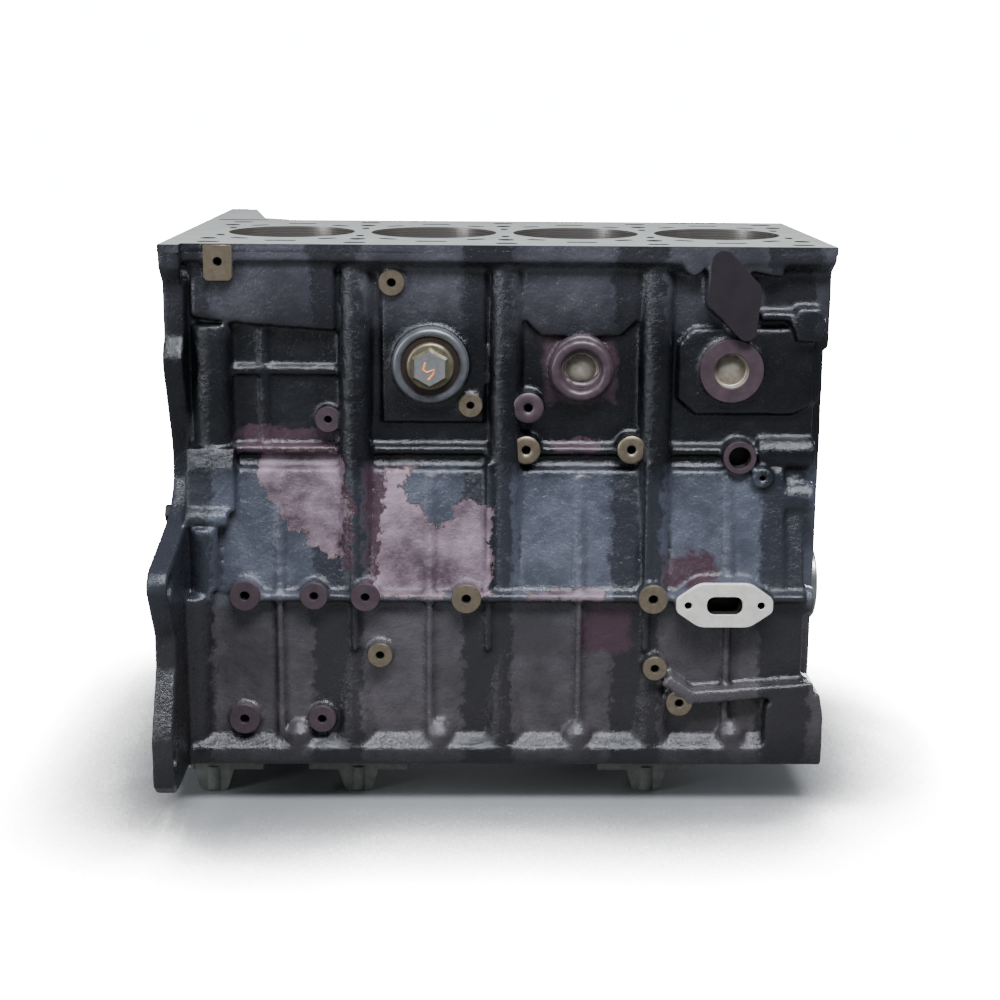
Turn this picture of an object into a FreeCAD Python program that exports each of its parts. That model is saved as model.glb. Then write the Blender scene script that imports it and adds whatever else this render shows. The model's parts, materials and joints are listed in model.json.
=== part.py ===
"""Four-cylinder cast-iron engine block with its crankshaft, main bearings and plugs.

Frame: the deck is Z = 0 and the cylinders hang below it. X runs along the crankshaft, from the
bell-housing end (rear, -X) to the pulley end (front, +X). Y = 0 is the line of bore centres, and
the origin lies on the deck, halfway along the row of bores. Millimetres.
"""
import FreeCAD, Part
import math
import os

V = FreeCAD.Vector

# ---------------------------------------------------------------- driving dimensions
cylinders = 4
bore_d = 83.0            # cylinder bore
bore_pitch = 94.0        # bore centre to bore centre
stroke = 99.0
deck_height = 239.5      # deck to crankshaft axis
skirt_depth = 89.0       # crankshaft axis to oil-pan rail
rear_wall = 11.6         # rearmost main bearing to the bell-housing face
front_wall = 3.0         # foremost main bearing to the front face

deck_near = 87.0         # bore line to the near edge of the deck
deck_far = 96.0          # bore line to the far edge of the deck
deck_lip = 10.0          # height of the machined edge round the deck
jacket_wall = 75.0       # bore line to the outside of the water-jacket wall
skirt_top = 98.0         # bore line to the outside of the crankcase, at the middle rib
skirt_wall = 8.0         # thickness of the crankcase wall
rail_half = 110.0        # bore line to the edge of the oil-pan rail
rail_thick = 11.0

liner_wall = 6.0         # iron between a bore and the water jacket
deck_plate = 12.0        # iron between the deck and the water jacket
jacket_width = 17.0      # water space round each liner
jacket_depth = 105.0     # deck to the floor of the water jacket
jacket_end_wall = 8.0    # iron between the water jacket and the front face
bore_length = 150.0

upper_rib_z = -130.0     # long rib at the foot of the water jacket
middle_rib_z = -219.5    # long rib half way down the crankcase
rib_thick = 4.5
fin_thick = 3.6
column_r = 10.0          # half-round columns between the cylinders
column_top = -7.0
ledge_drop = 11.0        # upper rib down to the ledge of a crankcase bay
ledge_out = 6.5
front_step = 13.0        # how far the near wall is set back behind the front face
lug_back = 7.0           # front face back to the ends of the corner lugs
rail_boss_r = 8.5

# crankshaft and main bearings
main_d = 55.0
main_width = 24.0        # bulkhead and cap thickness along X
shell_thick = 2.5
pin_d = 50.0
pin_width = 26.0
cheek_gap = 1.4          # bulkhead face to crank cheek
counterweight_r = 76.0
nose_d = 54.0
nose_out = 11.5          # how far the nose stands out of the front face
flange_d = 84.0
flange_out = 5.0         # how far the flywheel flange stands out of the bell-housing face
flange_bolts = 6
flange_pcd = 62.0
flange_tap_d = 8.5
running_gap = 0.04       # oil clearance, on the radius
seat_gap = 0.02          # parts that are seated against each other without a gap to see
end_float = 0.15
thrust_r = 36.0          # outside of the thrust washers
web_rim = 8.5            # iron round a crank pin, in a web
spigot_r = 8.0           # pilot bore in the flywheel flange
nose_tap_r = 6.5         # pulley-bolt thread in the nose

# main bearing caps
cap_height = 62.0        # crankshaft axis to the cap's underside
plain_cap_half = 58.0
wide_cap_half = 86.0
cap_bolt_y = 44.0
cap_bolt_d = 12.0
cap_bolt_reach = 48.0    # depth of the thread above the joint
cap_bolt_across = 18.0
cap_bolt_head = 10.0
foot_drop = 15.0         # foot below its ear
foot_width = 27.0
ear_width = 64.0
ear_z = 10.0             # thickness of the ear
ear_below_rail = 14.0    # underside of the ear, below the rail
wide_mains = (1, 2, 4)   # bearings whose caps have ears and feet, counted from the rear

# bell-housing plate
bell_thick = 13.0
bell_half = 163.0
bell_bolt_d = 13.0
bell_bolt_y = bell_half - 12.0   # bore line to the bell-housing bolts, each side
bell_waist = 69.0        # bore line to the plate's narrowest place, on the near side
tunnel_half = 200.0      # bore line to the outside of the timing-drive tunnel
bell_bolt_top = -198.0   # deck to the upper pair of them
bell_bolt_rise = 108.0   # upper pair to lower pair
seal_bore_r = 56.0
seal_ring_width = 9.0
carrier_thick = 6.0
carrier_lip = 9.0        # how far the carrier's lip reaches in under the bell-housing plate
carrier_drop = 12.0      # and how far it hangs below the rail
carrier_bolt_d = 6.0
carrier_bolt_across = 10.0
carrier_bolt_head = 5.0
carrier_half = 88.0      # half the width of the carrier
front_pin_d = 5.5
front_pin_drop = 36.0    # crankshaft axis down to the pin

# side plugs
core_plug_d = 23.0
core_plug_z = -78.0
core_boss_d = 39.5
core_cup_depth = 7.0
core_cup_wall = 1.6
hex_plug_d = 26.0
hex_across = 28.0
hex_high = 8.0
hex_collar_r = 16.5
hex_ring_d = 47.5
hex_ring_out = 10.0      # ring face, out from the jacket wall
hex_plug_z = core_plug_z + 3.0
near_core_out = 8.0      # core-plug bosses, out from the wall
far_core_out = 6.0
core_bore_depth = 40.0
washer_thick = 1.5

head_bolt_d = 12.0
head_bolt_y = 50.0
head_bolt_depth = 60.0
head_bolt_tap_d = 10.4
drain_wide = 7.0
drain_depth = 14.0
drain_y = 74.0
way_long = 20.0          # water way beside each bore

oval_width = 59.5        # oil-filter flange
oval_high = 27.5
oval_bolt_spacing = 45.5
oval_bolt_d = 5.4
oval_out = 15.0          # its face, out from the crankcase wall

cover_tap_d = 6.8        # timing-cover threads in the front face
cover_bolt_y = 66.0

# ---------------------------------------------------------------- sizes that follow
crank_z = -deck_height
rail_z = crank_z - skirt_depth
row = [(i - (cylinders - 1) / 2.0) * bore_pitch for i in range(cylinders)]
mains = [(i - cylinders / 2.0) * bore_pitch for i in range(cylinders + 1)]
rear_x = mains[0] - main_width / 2.0 - rear_wall
front_x = mains[-1] + main_width / 2.0 + front_wall
bore_r = bore_d / 2.0
liner_r = bore_r + liner_wall
jacket_r = liner_r + jacket_width
shell_r = main_d / 2.0 + running_gap + shell_thick
housing_r = shell_r + seat_gap
bay_length = bore_pitch - main_width
skirt_inside = skirt_top + 2.0 - skirt_wall


# ---------------------------------------------------------------- helpers
def rounded_wire(points, radii, place):
    """A closed wire through 2-D points, each corner turned by an arc of its own radius."""
    count = len(points)
    corners = []
    for i in range(count):
        here = V(points[i][0], points[i][1], 0)
        back = V(points[i - 1][0], points[i - 1][1], 0) - here
        ahead = V(points[(i + 1) % count][0], points[(i + 1) % count][1], 0) - here
        radius = radii[i] if isinstance(radii, (list, tuple)) else radii
        half = back.getAngle(ahead) / 2.0
        if radius <= 0 or half > math.pi / 2 - 1e-4:
            corners.append((here, None, here))
            continue
        run = radius / math.tan(half)
        run = min(run, 0.49 * back.Length, 0.49 * ahead.Length)
        radius = run * math.tan(half)
        back.normalize()
        ahead.normalize()
        start = here + back * run
        end = here + ahead * run
        middle_way = back + ahead
        middle_way.normalize()
        top = here + middle_way * (radius / math.sin(half) - radius)
        corners.append((start, top, end))
    edges = []
    for i in range(count):
        start, top, end = corners[i]
        if top is not None:
            edges.append(Part.Arc(place(start), place(top), place(end)).toShape())
        onward = corners[(i + 1) % count][0]
        if (onward - end).Length > 1e-6:
            edges.append(Part.LineSegment(place(end), place(onward)).toShape())
    return Part.Wire(edges)


def prism_x(points, radii, x0, x1):
    """A (Y, Z) outline drawn out along X."""
    wire = rounded_wire(points, radii, lambda p: V(x0, p.x, p.y))
    return Part.Face(wire).extrude(V(x1 - x0, 0, 0))


def prism_y(points, radii, y0, y1):
    """An (X, Z) outline drawn out along Y."""
    wire = rounded_wire(points, radii, lambda p: V(p.x, y0, p.y))
    return Part.Face(wire).extrude(V(0, y1 - y0, 0))


def prism_z(points, radii, z0, z1):
    """An (X, Y) outline drawn out along Z."""
    wire = rounded_wire(points, radii, lambda p: V(p.x, p.y, z0))
    return Part.Face(wire).extrude(V(0, 0, z1 - z0))


def rect(x0, x1, z0, z1):
    return [(x0, z0), (x1, z0), (x1, z1), (x0, z1)]


def rod_x(radius, x0, x1, y, z):
    return Part.makeCylinder(radius, x1 - x0, V(x0, y, z), V(1, 0, 0))


def rod_y(radius, y0, y1, x, z):
    return Part.makeCylinder(radius, y1 - y0, V(x, y0, z), V(0, 1, 0))


def rod_z(radius, z0, z1, x, y):
    return Part.makeCylinder(radius, z1 - z0, V(x, y, z0), V(0, 0, 1))


def wall_y(z):
    """Outside of the near wall at a height: upright at the jacket, leaning out to the skirt."""
    if z >= upper_rib_z:
        return -jacket_wall
    if z <= middle_rib_z:
        return -skirt_top
    share = (upper_rib_z - z) / (upper_rib_z - middle_rib_z)
    return -jacket_wall - share * (skirt_top - jacket_wall)


def boss(x, z, diameter, proud, side=-1):
    """A round cast boss on a side wall."""
    root = abs(wall_y(z)) - 12.0
    face = abs(wall_y(z)) + proud
    return Part.makeCylinder(diameter / 2.0, face - root, V(x, side * root, z), V(0, side, 0))


def boss_hole(x, z, diameter, proud, depth, side=-1):
    face = abs(wall_y(z)) + proud
    return Part.makeCylinder(diameter / 2.0, depth, V(x, side * face, z), V(0, -side, 0))


def hexagon(across, a, b):
    """Six corners round a centre, from the width across flats."""
    radius = across / math.sqrt(3.0)
    turns = [math.radians(60 * k) for k in range(6)]
    return [(a + radius * math.cos(turn), b + radius * math.sin(turn)) for turn in turns]


def joined(shapes):
    return shapes[0].multiFuse(shapes[1:])


def write(node, shape):
    shape.exportStep("parts/%s.step" % node)
    kinds = [s.isValid() for s in shape.Solids]
    print("%-24s solids %d valid %s volume %.1f cm3" % (node, len(kinds), all(kinds), shape.Volume / 1000.0))


# ---------------------------------------------------------------- the block casting
def along(length):
    """A length along the row of cylinders, in proportion to their spacing."""
    return length * bore_pitch / 94.0


def down(height):
    """A height on the walls, in proportion to the height of the deck."""
    return height * deck_height / 239.5


def side_section(edge):
    """Outside of one wall, from the edge of the deck down to the oil-pan rail, as (out, z)."""
    return [
        (edge, 0), (edge, -deck_lip), (jacket_wall, -deck_lip - 0.6 * (edge - jacket_wall)),
        (jacket_wall, upper_rib_z), (skirt_top - 1.5, middle_rib_z + 8), (skirt_top, middle_rib_z - 4),
        (skirt_top + 2, rail_z + rail_thick + 7), (rail_half, rail_z + rail_thick), (rail_half, rail_z),
    ]


def outer_body():
    """The whole outside as one section, drawn along the crankshaft."""
    near = [(-out, z) for out, z in side_section(deck_near)]
    far = side_section(deck_far)
    return prism_x(near + far[::-1], 0, rear_x + bell_thick, front_x)


def front_relief():
    """The steps by which the near wall is set back behind the front face."""
    steps = ((-64, 4.5), (-98, 8.0), (-136, front_step))
    points = [(front_x + 1, down(steps[0][0]))]
    back = 0.0
    for z, depth in steps:
        points.append((front_x - back, down(z)))
        points.append((front_x - depth, down(z) - 3.0))
        back = depth
    points += [(front_x - back, down(-292)), (front_x + 1, down(-292))]
    return prism_y(points, 0, -rail_half - 20, -jacket_wall + front_step)


def bell_plate():
    """The flat plate that the gearbox bolts to, with an ear at each bolt."""
    corner = deck_near + 8
    low = rail_z + 8
    near = [
        (-corner, 0), (-corner, down(-15)), (11 - corner, down(-26)), (11 - corner, down(-58)),
        (2 - corner, down(-71)), (-bell_waist, down(-130)), (-bell_waist, down(-152)), (-86, down(-170)),
        (-bell_half + 6, bell_bolt_top + 11), (-bell_half, bell_bolt_top + 2), (-bell_half + 21, down(-232)),
        (-bell_half + 21, down(-252)), (-bell_half + 2, down(-290)), (-bell_half + 2, low),
        (-bell_half + 12, rail_z),
    ]
    far = [
        (bell_half - 12, rail_z), (bell_half - 2, low), (bell_half - 2, down(-290)),
        (bell_half - 21, down(-252)), (bell_half - 21, down(-232)), (bell_half, bell_bolt_top + 2),
        (bell_half - 2, down(-120)),
        (tunnel_half, down(-30)), (tunnel_half, 0),
    ]
    near_radii = [0, 0, 0, 0, 12, 20, 0, 30, 10, 14, 0, 0, 20, 0, 0]
    far_radii = [0, 0, 20, 0, 0, 14, 0, 20, 0]
    return prism_x(near + far, near_radii + far_radii, rear_x, rear_x + bell_thick)


def timing_ear():
    """The wall of the timing-drive tunnel, flush with the deck behind the far rear corner."""
    start = rear_x + 2
    inner = deck_far - 20
    points = [
        (start, inner), (start + along(58), inner), (start + along(54), deck_far + 5),
        (start + along(36), deck_far + 16), (start + along(18), tunnel_half - 4), (start, tunnel_half - 4),
    ]
    return prism_z(points, 0, down(-58), 0)


def column_line(z):
    """Bore line to the axis of a column, which leans out as the wall does."""
    inner, outer = jacket_wall - 3.0, skirt_top - 8.5
    return inner + (outer - inner) * (z - column_top) / (middle_rib_z - column_top)


def column(x, side):
    """A half-round head-bolt column between two cylinders."""
    top = V(x, side * column_line(column_top), column_top)
    foot = V(x, side * column_line(middle_rib_z), middle_rib_z)
    return Part.makeCylinder(column_r, (foot - top).Length, top, foot - top)


def leg(x, side, top_z):
    """The foot of a column, which widens and steps out down to the oil-pan rail."""
    base = V(x, side * (skirt_top - 2.0), rail_z + rail_thick)
    peak = V(x, side * (skirt_top - 6.5), top_z)
    return Part.makeCone(column_r + 3.0, 7.0, (peak - base).Length, base, peak - base)


def bay_fin(x):
    """A thin upright rib on the near side, from the ledge of a bay down to the rail."""
    top_z = upper_rib_z - ledge_drop - 2
    low_z = rail_z + rail_thick - 2
    root = -skirt_top + 10
    points = [
        (wall_y(top_z), top_z), (wall_y(top_z) - ledge_out - 1.5, top_z - 2),
        (-skirt_top - 4.5, middle_rib_z), (-skirt_top - 6.5, low_z), (root, low_z), (root, middle_rib_z),
    ]
    return prism_x(points, 0, x - fin_thick / 2.0, x + fin_thick / 2.0)


def column_fin(x, low_z):
    """A thin rib down the face of a column, from the upper long rib to the head of its foot."""
    top_z = upper_rib_z - 2
    front = -column_line(top_z) - column_r
    root = -skirt_top + 10
    points = [
        (wall_y(top_z), top_z), (front - 1.0, top_z - 3), (-skirt_top - 3.5, middle_rib_z),
        (-skirt_top - 4.5, low_z), (root, low_z), (root, middle_rib_z),
    ]
    return prism_x(points, 0, x - fin_thick / 2.0, x + fin_thick / 2.0)


def long_rib(z, side, out, x0, x1):
    """A rib along the wall, thicker at its root."""
    root = side * (abs(wall_y(z)) - 10)
    face = side * (abs(wall_y(z)) + out)
    half = rib_thick / 2.0
    points = [(root, z - half - 2.5), (face, z - half), (face, z + half), (root, z + half + 2.5)]
    return prism_x(points, 0, x0, x1)


def bay_shoulder(x, side):
    """The upper wall of one crankcase bay: it starts at a ledge below the upper rib and leans out."""
    half = bore_pitch / 2.0 - column_r - 1.5
    top_z = upper_rib_z - ledge_drop
    points = [
        (side * (jacket_wall - 8), top_z), (side * (abs(wall_y(top_z)) + ledge_out), top_z),
        (side * (skirt_top + 0.8), middle_rib_z + 2), (side * (skirt_top - 12), middle_rib_z + 2),
    ]
    return prism_x(points, 0, x - half, x + half)


def boss_places():
    """The round bosses of the near wall: place, diameter, how proud, hole diameter and depth."""
    # main bearing, along from it, height, then the sizes that are returned as they are
    table = (
        (1, 23.0, -24.0, 15.5, 7.0, 6.0, 14.0),
        (2, -22.0, -101.0, 14.5, 6.0, 5.5, 14.0),
        (2, 14.0, -101.0, 19.5, 8.0, 6.0, 16.0),
        (2, 13.0, -128.0, 18.0, 9.0, 6.0, 16.0),
        (3, -15.0, -127.5, 18.0, 9.0, 6.0, 16.0),
        (1, -17.0, -110.0, 15.6, 8.0, 5.4, 14.0),
        (1, -68.0, -217.5, 18.7, 9.5, 6.6, 14.0),
        (1, -25.0, -217.5, 16.7, 9.5, 6.0, 14.0),
        (1, 7.0, -218.0, 17.5, 10.0, 6.0, 14.0),
        (2, -24.0, -219.0, 17.9, 9.5, 6.4, 14.0),
        (3, -1.0, -219.0, 17.9, 9.5, 6.4, 14.0),
        (1, 16.0, -256.0, 15.1, 9.5, 5.8, 12.0),
        (3, 1.0, -264.0, 14.8, 11.0, 5.8, 12.0),
        (3, 17.0, -287.0, 16.1, 11.0, 6.0, 12.0),
        (1, -70.0, -299.0, 18.9, 8.5, 6.4, 12.0),
        (1, -21.0, -299.0, 16.9, 8.5, 6.0, 12.0),
        (-1, -41.0, -132.0, 20.1, 14.0, 14.6, 18.0),
        (-1, -26.0, -145.0, 13.8, 12.0, 4.5, 12.0),
    )
    return [(mains[main] + along(x), down(z), d, proud, hole, depth)
            for main, x, z, d, proud, hole, depth in table]


def panel(x, outline, proud, radii=0.0):
    """A raised part of the jacket wall, its outline given from a bore centre and the deck."""
    points = [(x + along(a), down(b)) for a, b in outline]
    return prism_y(points, radii, -jacket_wall - proud, -jacket_wall + 6)


def near_panels():
    """Raised and sloping parts of the near wall above the upper rib."""
    first, second, third, last = row[0], row[1], row[2], row[-1]
    pillar = rod_z(along(12.5), down(-127), down(-51), first - along(42), -jacket_wall + 1)
    bead = rod_y(6.0, -jacket_wall - 12, -jacket_wall, last - along(26), down(-12))
    nut = [(40, -38), (54, -38), (58, -48), (54, -59), (40, -59), (36, -48)]
    return [
        pillar,
        bead,
        panel(first, [(-54, -9), (35, -9), (35, -54), (-20, -50), (-54, -46)], 8),
        panel(first, rect(-44, -27, -22.5, -1), 13, [3, 3, 0, 0]),
        panel(first, rect(-34, 36, -82.5, -77), 3.5),
        panel(first, rect(-12.5, -8, -126, -50), 2.0),
        panel(second, rect(-30, 34, -112, -9), 4),
        panel(third, [(-36, -9), (35, -9), (35, -46), (24, -57), (-25, -57), (-36, -46)], 4),
        panel(last, [(-33, -62), (-24, -52), (52, -52), (52, -100), (40, -106), (-22, -106), (-33, -96)], 4),
        panel(last, [(-8, -1.5), (15, -24), (15, -33), (7, -58), (-17, -37), (-17, -10)], 12,
              [7, 6, 6, 6, 6, 7]),
        panel(last, [(2, -5), (30, -9), (30, -19), (6, -15)], 10),
        panel(last, rect(17, 42, -46, -41), 8),
        panel(last, nut, 11),
    ]


def near_ducts():
    """Oil and vent passages cast along the wall, and the lugs at the front corner."""
    start = rear_x + bell_thick - 1
    skirt = -skirt_top
    foot = rail_z + 10
    box = prism_x(
        [(skirt + 32, down(-126)), (skirt + 10, down(-128)), (skirt + 5, down(-140)), (skirt + 2, down(-167)),
         (skirt + 26, down(-170))],
        [0, 0, 10, 0, 0], start, start + along(31),
    )
    cross_pipe = rod_x(6.0, start, start + along(27), skirt + 2, down(-170.5))
    upright_pipe = rod_z(8.5, down(-216), down(-176), start + along(12), skirt + 1)
    sump_duct = Part.makeCone(11.0, 15.0, down(-218.5) - foot, V(start + 3, skirt + 2, foot), V(0, 0, 1))
    lugs = []
    for reach, z_top, z_low, out in ((36, -121, -143, 84), (29, -149, -171, 88), (28, -215, -233, 100)):
        radius = down(z_top - z_low) / 2.0
        x0 = front_x - lug_back - along(reach)
        lugs.append(rod_x(radius, x0, front_x - lug_back, radius - out, down(z_top + z_low) / 2.0))
    corner = prism_y(
        [(front_x - 37, down(-284)), (front_x - 3, down(-281)), (front_x, down(-297)), (front_x, rail_z + 2),
         (front_x - 37, rail_z + 2)],
        [9, 0, 0, 0, 0], -rail_half, skirt + 8,
    )
    last = row[-1]
    shelf = prism_y(
        [(last - 36, down(-268)), (last - 22, down(-279)), (front_x - lug_back, down(-273)),
         (front_x - lug_back, down(-281)), (last - 20, down(-288)), (last - 42, down(-275))],
        [0, 8, 0, 0, 12, 0], skirt - 12, skirt + 8,
    )
    return [box, cross_pipe, upright_pipe, sump_duct, corner, shelf] + lugs


def oval_place():
    """Centre of the oil-filter flange."""
    return mains[3] + along(43.0), middle_rib_z - 1.5


def oval_flange(y0, y1):
    """The oil-filter flange: a race-track outline."""
    x, z = oval_place()
    half, rise = oval_width / 2.0, oval_high / 2.0
    outline = [
        (x - half, z + 4), (x - half, z - 4), (x - half + 14, z - rise), (x + half - 14, z - rise),
        (x + half, z - 4), (x + half, z + 4), (x + half - 14, z + rise), (x - half + 14, z + rise),
    ]
    return prism_y(outline, [4, 4, 12, 12, 4, 4, 12, 12], y0, y1)


def rail_bosses():
    """Bullet-shaped bosses over the oil-pan bolts."""
    shift = bore_pitch * 0.29
    places = [row[0] + along(11), row[1] - shift, row[1] + along(6), row[2] - shift, row[2], row[-1] - shift,
              row[-1] + along(4)]
    y = -skirt_top - 3
    top = rail_z + 20
    solids = []
    for x in places:
        solids.append(rod_z(rail_boss_r, rail_z + 1, top, x, y))
        solids.append(Part.makeCone(rail_boss_r, rail_boss_r * 0.4, 6.5, V(x, y, top), V(0, 0, 1)))
    return solids


def water_jacket():
    """The water space: a band round the four joined liners that passes inside the head bolts."""
    inner = head_bolt_y - head_bolt_d / 2 - 6.0
    reach = bore_pitch / 2.0 - 4.0
    shoulder = bore_pitch * 0.255
    end = front_x - row[-1] - jacket_end_wall
    side = [(row[0] - end, 20.0), (row[0] - 0.8 * end, 46.0)]
    for x in row:
        side += [(x - reach, inner), (x - shoulder, jacket_r), (x + shoulder, jacket_r), (x + reach, inner)]
    side += [(row[-1] + 0.8 * end, 46.0), (row[-1] + end, 20.0)]
    del side[-3]
    del side[2]
    outline = side + [(x, -y) for x, y in side[::-1]]
    band = prism_z(outline, 0, -jacket_depth, -deck_plate)
    return band.cut([rod_z(liner_r, -jacket_depth - 1, 1, x, 0) for x in row])


def slot(long, wide, x, y, turn, depth):
    """A cutter for one opening through the deck plate."""
    half, rise, cut = long / 2.0, wide / 2.0, wide * 0.3
    outline = [(-half, -rise + cut), (-half + cut, -rise), (half - cut, -rise), (half, -rise + cut),
               (half, rise - cut), (half - cut, rise), (-half + cut, rise), (-half, rise - cut)]
    shape = prism_z(outline, 0, -depth, 1)
    shape.rotate(V(0, 0, 0), V(0, 0, 1), turn)
    shape.translate(V(x, y, 0))
    return shape


def deck_openings():
    """Water ways round each bore, oil drains at the deck's edges and the head-bolt holes."""
    cutters = []
    through = deck_plate + 2
    way = liner_r + 8.0
    for x in row:
        for side in (-1, 1):
            cutters.append(slot(way_long, 6.0, x, side * (jacket_r - 1.0), 0, through))
            for turn in (-30, 30):
                heading = 90 * side + turn
                centre_x = x + way * math.cos(math.radians(heading))
                centre_y = way * math.sin(math.radians(heading))
                cutters.append(slot(13, 6, centre_x, centre_y, heading - 90, through))
    for x in mains:
        inward = 0.0 if mains[0] < x < mains[-1] else math.copysign(along(4.0), -x)
        for side in (-1, 1):
            cutters.append(slot(along(14), drain_wide, x + inward, side * drain_y, 0, drain_depth))
            cutters.append(rod_z(head_bolt_tap_d / 2, -head_bolt_depth, 1, x, side * head_bolt_y))
            cutters.append(slot(9, 5, x + inward, side * 27.0, 90, deck_plate - 4))
    cutters.append(slot(along(60), 7, row[-1] + along(8), deck_far - 7, 0, drain_depth))
    cutters.append(slot(along(36), 6, row[0] - along(46), deck_far - 3, 0, drain_depth))
    return cutters


def crankcase_bays():
    """The spaces between bulkheads that the crank throws turn in, open to the oil pan."""
    half = skirt_inside
    points = [
        (-half, rail_z - 1), (-half, middle_rib_z - 4), (-jacket_wall + 9, -bore_length),
        (jacket_wall - 9, -bore_length), (half, middle_rib_z - 4), (half, rail_z - 1),
    ]
    return [prism_x(points, 0, x - bay_length / 2, x + bay_length / 2) for x in row]


def cap_half(index):
    return wide_cap_half if index + 1 in wide_mains else plain_cap_half


def cap_slots():
    """The registers that the caps sit in, and the open front below the last cap."""
    cutters = []
    for i, x in enumerate(mains):
        half = cap_half(i) + seat_gap
        x0 = x - main_width / 2 - (0 if i else 0.5)
        x1 = front_x + 1 if i == len(mains) - 1 else x + main_width / 2
        outline = [(-half, rail_z - 1), (half, rail_z - 1), (half, crank_z), (-half, crank_z)]
        cutters.append(prism_x(outline, 0, x0, x1))
    return cutters


def main_line():
    """The bearing housings, the rear seal bore and the clearance for the crank nose."""
    cutters = [rod_x(housing_r, rear_x + 1, mains[-1] + main_width / 2 + 1, 0, crank_z)]
    cutters.append(rod_x(seal_bore_r, rear_x - 1, rear_x + bell_thick, 0, crank_z))
    cutters.append(rod_x(nose_d / 2 + 3.0, mains[-1] + main_width / 2, front_x + 1, 0, crank_z))
    return cutters


def bell_bolt_places():
    """Four in a rectangle beside the crankshaft, and one at each top corner."""
    heights = (bell_bolt_top, bell_bolt_top - bell_bolt_rise)
    four = [(side * bell_bolt_y, z) for side in (-1, 1) for z in heights]
    return four + [(-deck_near + 7, down(-18)), (tunnel_half - 14, down(-20))]


def fix_holes():
    """Tapped and plugged holes of the side walls, the cap-bolt threads and the gearbox bolts."""
    cutters = []
    for x, z, diameter, proud, hole, depth in boss_places():
        cutters.append(boss_hole(x, z, hole, proud, depth))
    for x in row[2:]:
        cutters.append(boss_hole(x, core_plug_z, core_plug_d, near_core_out, core_bore_depth))
    for x in row[1:]:
        cutters.append(boss_hole(x, core_plug_z, core_plug_d, far_core_out, core_bore_depth, side=1))
    cutters.append(boss_hole(row[1], hex_plug_z, hex_plug_d, hex_ring_out, core_bore_depth))
    cutters.append(boss_hole(row[0] - along(35.5), down(-11), 6.0, 13.0, 16.0))
    thread_end = crank_z + cap_bolt_reach + 3
    for x in mains:
        for side in (-1, 1):
            cutters.append(rod_z(cap_bolt_d / 2 + seat_gap, crank_z - 1, thread_end, x, side * cap_bolt_y))
    for y, z in bell_bolt_places():
        cutters.append(rod_x(bell_bolt_d / 2, rear_x - 1, rear_x + bell_thick + 1, y, z))
    for y in (cover_bolt_y, -cover_bolt_y):
        for z in (down(-20), down(-100), down(-180)):
            cutters.append(rod_x(cover_tap_d / 2, front_x - 14, front_x + 1, y, z))
    x, z = oval_place()
    face = -skirt_top - oval_out
    window = rect(x - 11.5, x + 11.5, z - 6, z + 6)
    cutters.append(prism_y(window, 5.0, face - 1, -skirt_top + 2))
    for side in (-1, 1):
        cutters.append(rod_y(oval_bolt_d / 2, face - 1, -skirt_top, x + side * oval_bolt_spacing / 2, z))
    return cutters


def engine_block():
    """One casting: deck, jacket, crankcase, bulkheads, bell-housing plate, ribs and bosses."""
    solids = [outer_body().cut(front_relief()), bell_plate(), timing_ear()]
    leg_top = middle_rib_z - down(30)
    for x, shift in zip(mains[1:-1], (0.0, -10.0, -4.5)):
        solids.append(column_fin(x + shift, leg_top - 6))
    for x in mains[1:-1]:
        for side in (-1, 1):
            solids.append(column(x, side))
            solids.append(leg(x, side, leg_top))
    for x in row:
        solids.append(bay_fin(x))
        solids.append(bay_shoulder(x, -1))
        solids.append(bay_shoulder(x, 1))
    for side in (-1, 1):
        solids.append(long_rib(upper_rib_z, side, 6.5, rear_x + bell_thick, front_x - lug_back))
        solids.append(long_rib(middle_rib_z, side, 7.0, row[0] - along(12), front_x - 14))
    solids += near_panels()
    solids += near_ducts()
    solids += rail_bosses()
    for x, z, diameter, proud, hole, depth in boss_places():
        solids.append(boss(x, z, diameter, proud))
    for x in row[2:]:
        solids.append(boss(x, core_plug_z, core_boss_d, near_core_out))
    for x in row[1:]:
        solids.append(boss(x, core_plug_z, core_boss_d - 6, far_core_out, side=1))
    solids.append(boss(row[1], hex_plug_z, hex_ring_d, hex_ring_out))
    solids.append(oval_flange(-skirt_top - oval_out, -skirt_top + 8))
    cutters = [rod_z(bore_r, -bore_length - 4, 1, x, 0) for x in row]
    cutters.append(water_jacket())
    for group in (deck_openings(), crankcase_bays(), cap_slots(), main_line(), fix_holes()):
        cutters += group
    return joined(solids).cut(cutters).Solids[0]


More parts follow.
